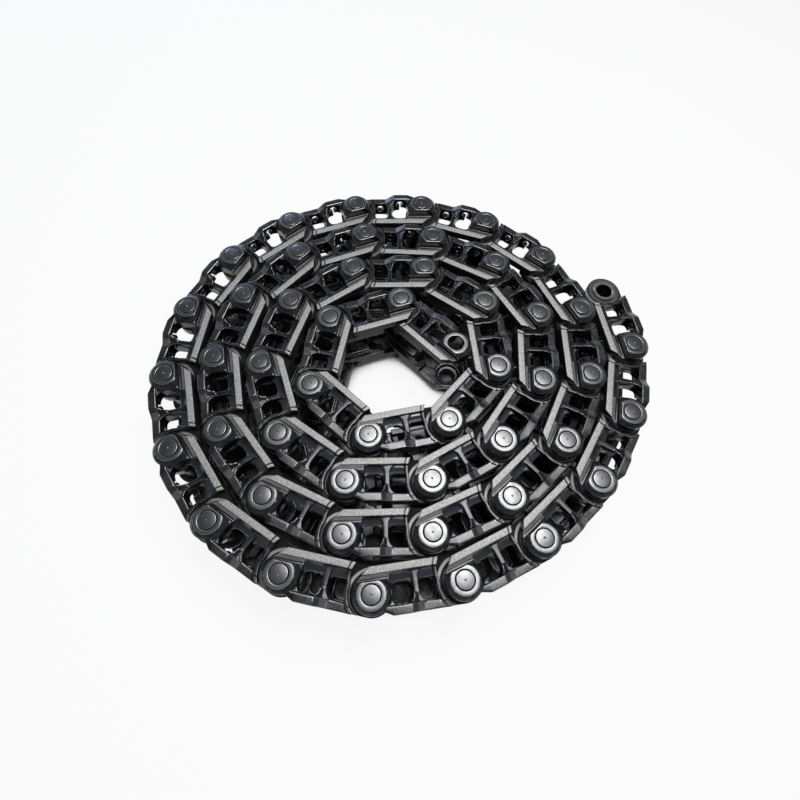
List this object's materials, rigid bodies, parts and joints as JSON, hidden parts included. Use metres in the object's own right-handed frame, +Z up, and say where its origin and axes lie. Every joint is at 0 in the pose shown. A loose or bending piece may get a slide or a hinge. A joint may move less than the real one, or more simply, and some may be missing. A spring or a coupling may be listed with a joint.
{
  "type": "excavator track chain",
  "caption": "Rolled-up excavator track chain of offset forged links joined by pins and bushings, lying on its side, with windows and bolt holes for track shoes.",
  "frame": {"origin": "floor under the middle of the roll's bounding box", "axes": "+Z up along the pins; the shoe face of link 7, on the outer turn, looks along -Y; the outer end of the chain is at +X +Y"},
  "size_m": [1.2114, 1.1254, 0.22],
  "materials": {
    "link_paint": "satin black paint",
    "bushing_steel": "ground and blackened",
    "pin_steel": "turned and ground",
    "seal_rubber": "matt"
  },
  "bodies": {
    "link_01": {"link_upper_01": "link_paint", "link_lower_01": "link_paint", "bushing_01": "bushing_steel", "pin_01": "pin_steel", "seals_01": "seal_rubber"},
    "link_02": {"track_link_02": "link_paint"},
    "link_03": {"track_link_03": "link_paint"},
    "link_04": {"track_link_04": "link_paint"},
    "link_05": {"track_link_05": "link_paint"},
    "link_06": {"track_link_06": "link_paint"},
    "link_07": {"link_upper_07": "link_paint", "link_lower_07": "link_paint", "bushing_07": "bushing_steel", "pin_07": "pin_steel", "seals_07": "seal_rubber"},
    "link_08": {"track_link_08": "link_paint"},
    "link_09": {"track_link_09": "link_paint"},
    "link_10": {"track_link_10": "link_paint"},
    "link_11": {"track_link_11": "link_paint"},
    "link_12": {"track_link_12": "link_paint"},
    "link_13": {"track_link_13": "link_paint"},
    "link_14": {"track_link_14": "link_paint"},
    "link_15": {"track_link_15": "link_paint"},
    "link_16": {"track_link_16": "link_paint"},
    "link_17": {"track_link_17": "link_paint"},
    "link_18": {"track_link_18": "link_paint"},
    "link_19": {"track_link_19": "link_paint"},
    "link_20": {"track_link_20": "link_paint"},
    "link_21": {"track_link_21": "link_paint"},
    "link_22": {"track_link_22": "link_paint"},
    "link_23": {"track_link_23": "link_paint"},
    "link_24": {"track_link_24": "link_paint"},
    "link_25": {"track_link_25": "link_paint"},
    "link_26": {"track_link_26": "link_paint"},
    "link_27": {"track_link_27": "link_paint"},
    "link_28": {"track_link_28": "link_paint"},
    "link_29": {"track_link_29": "link_paint"},
    "link_30": {"track_link_30": "link_paint"},
    "link_31": {"track_link_31": "link_paint"},
    "link_32": {"track_link_32": "link_paint"},
    "link_33": {"track_link_33": "link_paint"},
    "link_34": {"track_link_34": "link_paint"},
    "link_35": {"track_link_35": "link_paint"},
    "link_36": {"track_link_36": "link_paint"},
    "link_37": {"track_link_37": "link_paint"},
    "link_38": {"track_link_38": "link_paint"},
    "link_39": {"track_link_39": "link_paint"},
    "link_40": {"track_link_40": "link_paint"},
    "link_41": {"track_link_41": "link_paint"},
    "link_42": {"track_link_42": "link_paint"},
    "link_43": {"track_link_43": "link_paint"},
    "link_44": {"track_link_44": "link_paint"},
    "link_45": {"track_link_45": "link_paint"},
    "link_46": {"track_link_46": "link_paint"},
    "link_47": {"track_link_47": "link_paint"},
    "link_48": {"track_link_48": "link_paint"},
    "link_49": {"link_upper_49": "link_paint", "link_lower_49": "link_paint", "bushing_49": "bushing_steel"}
  },
  "joints": [
    {"name": "hinge_01", "type": "hinge", "parent": "link_02", "child": "link_01", "pos_m": [0.56118, 0.18231, 0.11], "axis": [0, 0, -1], "range_deg": [0, 21]},
    {"name": "hinge_02", "type": "hinge", "parent": "link_03", "child": "link_02", "pos_m": [0.55677, -0.00764, 0.11], "axis": [0, 0, -1], "range_deg": [0, 18.97]},
    {"name": "hinge_03", "type": "hinge", "parent": "link_04", "child": "link_03", "pos_m": [0.49086, -0.18584, 0.11], "axis": [0, 0, -1], "range_deg": [0, 16.57]},
    {"name": "hinge_04", "type": "hinge", "parent": "link_05", "child": "link_04", "pos_m": [0.37687, -0.33785, 0.11], "axis": [0, 0, -1], "range_deg": [0, 15.73]},
    {"name": "hinge_05", "type": "hinge", "parent": "link_06", "child": "link_05", "pos_m": [0.22594, -0.45326, 0.11], "axis": [0, 0, -1], "range_deg": [0, 17.43]},
    {"name": "hinge_06", "type": "hinge", "parent": "link_07", "child": "link_06", "pos_m": [0.04737, -0.51817, 0.11], "axis": [0, 0, -1], "range_deg": [0, 19.98]},
    {"name": "hinge_07", "type": "hinge", "parent": "link_08", "child": "link_07", "pos_m": [-0.14263, -0.51817, 0.11], "axis": [0, 0, -1], "range_deg": [0, 21.41]},
    {"name": "hinge_08", "type": "hinge", "parent": "link_09", "child": "link_08", "pos_m": [-0.31952, -0.44882, 0.11], "axis": [0, 0, -1], "range_deg": [0, 21.41]},
    {"name": "hinge_09", "type": "hinge", "parent": "link_10", "child": "link_09", "pos_m": [-0.45888, -0.31968, 0.11], "axis": [0, 0, -1], "range_deg": [0, 20.88]},
    {"name": "hinge_10", "type": "hinge", "parent": "link_11", "child": "link_10", "pos_m": [-0.54306, -0.14934, 0.11], "axis": [0, 0, -1], "range_deg": [0, 20.82]},
    {"name": "hinge_11", "type": "hinge", "parent": "link_12", "child": "link_11", "pos_m": [-0.56118, 0.03979, 0.11], "axis": [0, 0, -1], "range_deg": [0, 21.39]},
    {"name": "hinge_12", "type": "hinge", "parent": "link_13", "child": "link_12", "pos_m": [-0.50908, 0.22251, 0.11], "axis": [0, 0, -1], "range_deg": [0, 21.6]},
    {"name": "hinge_13", "type": "hinge", "parent": "link_14", "child": "link_13", "pos_m": [-0.39337, 0.37321, 0.11], "axis": [0, 0, -1], "range_deg": [0, 20.44]},
    {"name": "hinge_14", "type": "hinge", "parent": "link_15", "child": "link_14", "pos_m": [-0.23232, 0.47403, 0.11], "axis": [0, 0, -1], "range_deg": [0, 18.61]},
    {"name": "hinge_15", "type": "hinge", "parent": "link_16", "child": "link_15", "pos_m": [-0.04752, 0.51817, 0.11], "axis": [0, 0, -1], "range_deg": [0, 18.86]},
    {"name": "hinge_16", "type": "hinge", "parent": "link_17", "child": "link_16", "pos_m": [0.14163, 0.50019, 0.11], "axis": [0, 0, -1], "range_deg": [0, 22.02]},
    {"name": "hinge_17", "type": "hinge", "parent": "link_18", "child": "link_17", "pos_m": [0.31023, 0.4126, 0.11], "axis": [0, 0, -1], "range_deg": [0, 25.52]},
    {"name": "hinge_18", "type": "hinge", "parent": "link_19", "child": "link_18", "pos_m": [0.42465, 0.26092, 0.11], "axis": [0, 0, -1], "range_deg": [0, 26.76]},
    {"name": "hinge_19", "type": "hinge", "parent": "link_20", "child": "link_19", "pos_m": [0.45851, 0.07396, 0.11], "axis": [0, 0, -1], "range_deg": [0, 24.82]},
    {"name": "hinge_20", "type": "hinge", "parent": "link_21", "child": "link_20", "pos_m": [0.41077, -0.10995, 0.11], "axis": [0, 0, -1], "range_deg": [0, 20.94]},
    {"name": "hinge_21", "type": "hinge", "parent": "link_22", "child": "link_21", "pos_m": [0.30046, -0.26465, 0.11], "axis": [0, 0, -1], "range_deg": [0, 19.11]},
    {"name": "hinge_22", "type": "hinge", "parent": "link_23", "child": "link_22", "pos_m": [0.14558, -0.37471, 0.11], "axis": [0, 0, -1], "range_deg": [0, 22.18]},
    {"name": "hinge_23", "type": "hinge", "parent": "link_24", "child": "link_23", "pos_m": [-0.03938, -0.41815, 0.11], "axis": [0, 0, -1], "range_deg": [0, 26.07]},
    {"name": "hinge_24", "type": "hinge", "parent": "link_25", "child": "link_24", "pos_m": [-0.22462, -0.37589, 0.11], "axis": [0, 0, -1], "range_deg": [0, 27.1]},
    {"name": "hinge_25", "type": "hinge", "parent": "link_25", "child": "link_26", "pos_m": [-0.37027, -0.25388, 0.11], "axis": [0, 0, 1], "range_deg": [0, 26.39]},
    {"name": "hinge_26", "type": "hinge", "parent": "link_26", "child": "link_27", "pos_m": [-0.44652, -0.07985, 0.11], "axis": [0, 0, 1], "range_deg": [0, 26.5]},
    {"name": "hinge_27", "type": "hinge", "parent": "link_27", "child": "link_28", "pos_m": [-0.43712, 0.10992, 0.11], "axis": [0, 0, 1], "range_deg": [0, 27.46]},
    {"name": "hinge_28", "type": "hinge", "parent": "link_28", "child": "link_29", "pos_m": [-0.34125, 0.27396, 0.11], "axis": [0, 0, 1], "range_deg": [0, 26.4]},
    {"name": "hinge_29", "type": "hinge", "parent": "link_29", "child": "link_30", "pos_m": [-0.18245, 0.37827, 0.11], "axis": [0, 0, 1], "range_deg": [0, 23.36]},
    {"name": "hinge_30", "type": "hinge", "parent": "link_30", "child": "link_31", "pos_m": [0.0047, 0.41106, 0.11], "axis": [0, 0, 1], "range_deg": [0, 25.03]},
    {"name": "hinge_31", "type": "hinge", "parent": "link_31", "child": "link_32", "pos_m": [0.18815, 0.3616, 0.11], "axis": [0, 0, 1], "range_deg": [0, 31.73]},
    {"name": "hinge_32", "type": "hinge", "parent": "link_32", "child": "link_33", "pos_m": [0.31817, 0.22305, 0.11], "axis": [0, 0, 1], "range_deg": [0, 35.37]},
    {"name": "hinge_33", "type": "hinge", "parent": "link_33", "child": "link_34", "pos_m": [0.34402, 0.03482, 0.11], "axis": [0, 0, 1], "range_deg": [0, 31.67]},
    {"name": "hinge_34", "type": "hinge", "parent": "link_34", "child": "link_35", "pos_m": [0.26719, -0.13895, 0.11], "axis": [0, 0, 1], "range_deg": [0, 25.12]},
    {"name": "hinge_35", "type": "hinge", "parent": "link_35", "child": "link_36", "pos_m": [0.12385, -0.26367, 0.11], "axis": [0, 0, 1], "range_deg": [0, 28.03]},
    {"name": "hinge_36", "type": "hinge", "parent": "link_36", "child": "link_37", "pos_m": [-0.06128, -0.3064, 0.11], "axis": [0, 0, 1], "range_deg": [0, 35.61]},
    {"name": "hinge_37", "type": "hinge", "parent": "link_37", "child": "link_38", "pos_m": [-0.23668, -0.23334, 0.11], "axis": [0, 0, 1], "range_deg": [0, 36.58]},
    {"name": "hinge_38", "type": "hinge", "parent": "link_38", "child": "link_39", "pos_m": [-0.33398, -0.07015, 0.11], "axis": [0, 0, 1], "range_deg": [0, 36.38]},
    {"name": "hinge_39", "type": "hinge", "parent": "link_39", "child": "link_40", "pos_m": [-0.31553, 0.11895, 0.11], "axis": [0, 0, 1], "range_deg": [0, 37.93]},
    {"name": "hinge_40", "type": "hinge", "parent": "link_40", "child": "link_41", "pos_m": [-0.18473, 0.25676, 0.11], "axis": [0, 0, 1], "range_deg": [0, 33.31]},
    {"name": "hinge_41", "type": "hinge", "parent": "link_41", "child": "link_42", "pos_m": [0.00026, 0.30011, 0.11], "axis": [0, 0, 1], "range_deg": [0, 35.54]},
    {"name": "hinge_42", "type": "hinge", "parent": "link_42", "child": "link_43", "pos_m": [0.17599, 0.22785, 0.11], "axis": [0, 0, 1], "range_deg": [0, 50.14]},
    {"name": "hinge_43", "type": "hinge", "parent": "link_43", "child": "link_44", "pos_m": [0.23314, 0.04665, 0.11], "axis": [0, 0, 1], "range_deg": [0, 47.45]},
    {"name": "hinge_44", "type": "hinge", "parent": "link_44", "child": "link_45", "pos_m": [0.1383, -0.11798, 0.11], "axis": [0, 0, 1], "range_deg": [0, 36.52]},
    {"name": "hinge_45", "type": "hinge", "parent": "link_45", "child": "link_46", "pos_m": [-0.0359, -0.19384, 0.11], "axis": [0, 0, 1], "range_deg": [0, 53.42]},
    {"name": "hinge_46", "type": "hinge", "parent": "link_46", "child": "link_47", "pos_m": [-0.20063, -0.09916, 0.11], "axis": [0, 0, 1], "range_deg": [0, 59.19]},
    {"name": "hinge_47", "type": "hinge", "parent": "link_47", "child": "link_48", "pos_m": [-0.20369, 0.09081, 0.11], "axis": [0, 0, 1], "range_deg": [0, 60.83]},
    {"name": "hinge_48", "type": "hinge", "parent": "link_48", "child": "link_49", "pos_m": [-0.0393, 0.18608, 0.11], "axis": [0, 0, 1], "range_deg": [0, 62.36]}
  ],
  "couplings": [
    {"joint": "hinge_01", "follows": "hinge_25", "ratio": 0.79588},
    {"joint": "hinge_02", "follows": "hinge_25", "ratio": 0.71887},
    {"joint": "hinge_03", "follows": "hinge_25", "ratio": 0.62787},
    {"joint": "hinge_04", "follows": "hinge_25", "ratio": 0.59619},
    {"joint": "hinge_05", "follows": "hinge_25", "ratio": 0.66054},
    {"joint": "hinge_06", "follows": "hinge_25", "ratio": 0.75703},
    {"joint": "hinge_07", "follows": "hinge_25", "ratio": 0.8113},
    {"joint": "hinge_08", "follows": "hinge_25", "ratio": 0.81153},
    {"joint": "hinge_09", "follows": "hinge_25", "ratio": 0.7914},
    {"joint": "hinge_10", "follows": "hinge_25", "ratio": 0.78924},
    {"joint": "hinge_11", "follows": "hinge_25", "ratio": 0.81058},
    {"joint": "hinge_12", "follows": "hinge_25", "ratio": 0.81869},
    {"joint": "hinge_13", "follows": "hinge_25", "ratio": 0.7745},
    {"joint": "hinge_14", "follows": "hinge_25", "ratio": 0.70545},
    {"joint": "hinge_15", "follows": "hinge_25", "ratio": 0.71489},
    {"joint": "hinge_16", "follows": "hinge_25", "ratio": 0.83453},
    {"joint": "hinge_17", "follows": "hinge_25", "ratio": 0.96725},
    {"joint": "hinge_18", "follows": "hinge_25", "ratio": 1.0143},
    {"joint": "hinge_19", "follows": "hinge_25", "ratio": 0.94054},
    {"joint": "hinge_20", "follows": "hinge_25", "ratio": 0.79345},
    {"joint": "hinge_21", "follows": "hinge_25", "ratio": 0.7244},
    {"joint": "hinge_22", "follows": "hinge_25", "ratio": 0.8406},
    {"joint": "hinge_23", "follows": "hinge_25", "ratio": 0.98799},
    {"joint": "hinge_24", "follows": "hinge_25", "ratio": 1.0272},
    {"joint": "hinge_26", "follows": "hinge_25", "ratio": 1.0042},
    {"joint": "hinge_27", "follows": "hinge_25", "ratio": 1.0409},
    {"joint": "hinge_28", "follows": "hinge_25", "ratio": 1.0005},
    {"joint": "hinge_29", "follows": "hinge_25", "ratio": 0.88543},
    {"joint": "hinge_30", "follows": "hinge_25", "ratio": 0.94853},
    {"joint": "hinge_31", "follows": "hinge_25", "ratio": 1.2024},
    {"joint": "hinge_32", "follows": "hinge_25", "ratio": 1.3403},
    {"joint": "hinge_33", "follows": "hinge_25", "ratio": 1.2002},
    {"joint": "hinge_34", "follows": "hinge_25", "ratio": 0.95213},
    {"joint": "hinge_35", "follows": "hinge_25", "ratio": 1.0623},
    {"joint": "hinge_36", "follows": "hinge_25", "ratio": 1.3496},
    {"joint": "hinge_37", "follows": "hinge_25", "ratio": 1.3863},
    {"joint": "hinge_38", "follows": "hinge_25", "ratio": 1.3787},
    {"joint": "hinge_39", "follows": "hinge_25", "ratio": 1.4376},
    {"joint": "hinge_40", "follows": "hinge_25", "ratio": 1.2623},
    {"joint": "hinge_41", "follows": "hinge_25", "ratio": 1.3469},
    {"joint": "hinge_42", "follows": "hinge_25", "ratio": 1.9003},
    {"joint": "hinge_43", "follows": "hinge_25", "ratio": 1.7984},
    {"joint": "hinge_44", "follows": "hinge_25", "ratio": 1.3841},
    {"joint": "hinge_45", "follows": "hinge_25", "ratio": 2.0246},
    {"joint": "hinge_46", "follows": "hinge_25", "ratio": 2.2432},
    {"joint": "hinge_47", "follows": "hinge_25", "ratio": 2.3053},
    {"joint": "hinge_48", "follows": "hinge_25", "ratio": 2.3633}
  ]
}
